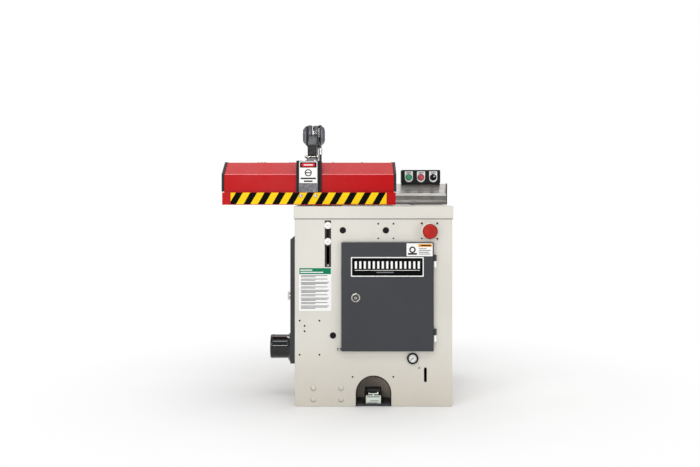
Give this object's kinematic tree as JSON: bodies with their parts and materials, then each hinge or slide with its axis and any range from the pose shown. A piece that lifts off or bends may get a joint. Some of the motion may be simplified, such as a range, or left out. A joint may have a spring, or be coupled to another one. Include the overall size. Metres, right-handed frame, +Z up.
{
  "type": "up-cut saw",
  "caption": "Pneumatic up-cut crosscut saw: sheet-metal cabinet, blade rising through the table under a red hold-down guard, fence with push buttons, locking doors, foot pedal and dust port.",
  "frame": {"origin": "on the floor, at the centre of the cabinet's footprint", "axes": "+X along the fence to the operator's right, +Y from the front panel to the back, +Z up"},
  "size_m": [1.012, 0.7495, 1.241],
  "materials": {
    "cream_paint": "semi-gloss powder coat",
    "charcoal_paint": "satin powder coat",
    "red_paint": "gloss powder coat",
    "grey_casting": "painted casting, slightly textured",
    "motor_paint": "satin paint",
    "brushed_steel": "brushed along its length",
    "machined_steel": "turned or ground",
    "chrome": "polished",
    "aluminium": "satin anodised",
    "black_rubber": "matt",
    "black_plastic": "fine texture",
    "palm_red": "gloss",
    "start_green": "gloss",
    "stop_red": "gloss"
  },
  "bodies": {
    "cabinet": {"cabinet_shell": "cream_paint", "base_plate": "charcoal_paint", "table_top": "cream_paint", "table_insert": "aluminium", "wear_plate": "brushed_steel", "fence_right": "brushed_steel", "fence_left": "brushed_steel", "control_box": "black_plastic", "foot_recess": "charcoal_paint", "rear_cover": "cream_paint", "stop_button_base": "cream_paint", "gauge_case": "black_plastic", "air_regulator": "black_plastic", "slot_rail": "black_plastic", "pedal_base": "grey_casting", "door_hinge_lower": "machined_steel", "door_hinge_upper": "machined_steel", "side_hinge": "charcoal_paint", "pivot_shaft": "machined_steel", "pivot_bearing_left": "grey_casting", "pivot_bearing_right": "grey_casting", "cylinder_stand": "charcoal_paint", "lift_cylinder": "aluminium", "column_guide": "grey_casting", "clamp_cylinder": "aluminium"},
    "saw_arm": {"saw_frame": "grey_casting", "motor_body": "motor_paint", "drive_belt": "black_rubber"},
    "arbor": {"arbor_shaft": "machined_steel", "saw_blade": "brushed_steel", "blade_flange": "machined_steel", "arbor_nut": "machined_steel", "arbor_pulley": "grey_casting"},
    "motor_rotor": {"motor_shaft": "machined_steel", "motor_pulley": "grey_casting"},
    "lift_piston": {"lift_rod": "chrome"},
    "hold_down": {"column": "chrome", "clamp_rod": "chrome", "guide_rod": "machined_steel", "overarm": "grey_casting", "saddle_bracket": "grey_casting", "guard_shell": "red_paint", "guard_cap_left": "black_rubber", "guard_cap_right": "black_rubber", "guard_apron": "red_paint", "air_hose": "black_rubber"},
    "door": {"front_door": "charcoal_paint"},
    "lock": {"door_lock": "chrome"},
    "blade_door": {"side_door": "charcoal_paint", "dust_port": "charcoal_paint"},
    "latch": {"side_latch": "black_plastic"},
    "palm_stop": {"palm_stop_button": "palm_red"},
    "start": {"start_button": "start_green"},
    "stop": {"stop_button": "stop_red"},
    "selector": {"selector_knob": "black_plastic"},
    "needle": {"gauge_needle": "black_plastic"},
    "stroke_limit": {"limit_valve": "aluminium", "slot_bolt_lower": "chrome", "slot_bolt_upper": "chrome"},
    "treadle": {"pedal_treadle": "black_rubber"}
  },
  "joints": [
    {"name": "saw_lift", "type": "hinge", "parent": "cabinet", "child": "saw_arm", "pos_m": [0, 0.21, 0.687], "axis": [-1, 0, 0], "range_deg": [0, 22.5]},
    {"name": "blade_spin", "type": "hinge", "parent": "saw_arm", "child": "arbor", "pos_m": [-0.2, -0.06462, 0.63237], "axis": [1, 0, 0], "continuous": true},
    {"name": "motor_spin", "type": "hinge", "parent": "saw_arm", "child": "motor_rotor", "pos_m": [-0.05, 0.15, 0.357], "axis": [1, 0, 0], "continuous": true},
    {"name": "lift_piston_slide", "type": "slide", "parent": "cabinet", "child": "lift_piston", "axis": [0, 0, 1], "range_m": [0, 0.0586]},
    {"name": "hold_down_slide", "type": "slide", "parent": "cabinet", "child": "hold_down", "axis": [0, 0, 1], "range_m": [0, 0.13]},
    {"name": "front_door_swing", "type": "hinge", "parent": "cabinet", "child": "door", "pos_m": [0.2605, -0.361, 0.45], "axis": [0, 0, 1], "range_deg": [0, 120]},
    {"name": "door_lock_turn", "type": "hinge", "parent": "door", "child": "lock", "pos_m": [-0.076, -0.36, 0.464], "axis": [0, -1, 0], "range_deg": [0, 90]},
    {"name": "side_door_swing", "type": "hinge", "parent": "cabinet", "child": "blade_door", "pos_m": [-0.347, 0.157, 0.43], "axis": [0, 0, -1], "range_deg": [0, 105]},
    {"name": "side_latch_turn", "type": "hinge", "parent": "blade_door", "child": "latch", "pos_m": [-0.345, -0.271, 0.46], "axis": [1, 0, 0], "range_deg": [0, 90]},
    {"name": "palm_stop_press", "type": "slide", "parent": "cabinet", "child": "palm_stop", "axis": [0, 1, 0], "range_m": [0, 0.006]},
    {"name": "start_press", "type": "slide", "parent": "cabinet", "child": "start", "axis": [0, 1, 0], "range_m": [0, 0.004]},
    {"name": "stop_press", "type": "slide", "parent": "cabinet", "child": "stop", "axis": [0, 1, 0], "range_m": [0, 0.004]},
    {"name": "selector_turn", "type": "hinge", "parent": "cabinet", "child": "selector", "pos_m": [0.296, 0.084, 0.98], "axis": [0, 1, 0], "range_deg": [-80, 0]},
    {"name": "needle_turn", "type": "hinge", "parent": "cabinet", "child": "needle", "pos_m": [0.166, -0.356, 0.204], "axis": [0, 1, 0], "range_deg": [0, 270]},
    {"name": "stroke_limit_slide", "type": "slide", "parent": "cabinet", "child": "stroke_limit", "axis": [0, 0, 1], "range_m": [-0.085, 0.01]},
    {"name": "pedal_press", "type": "hinge", "parent": "cabinet", "child": "treadle", "pos_m": [0, -0.255, 0.056], "axis": [1, 0, 0], "range_deg": [0, 8]}
  ],
  "couplings": [
    {"joint": "motor_spin", "follows": "blade_spin", "ratio": 0.94},
    {"joint": "lift_piston_slide", "follows": "saw_lift", "m_per_rad": 0.14904}
  ]
}
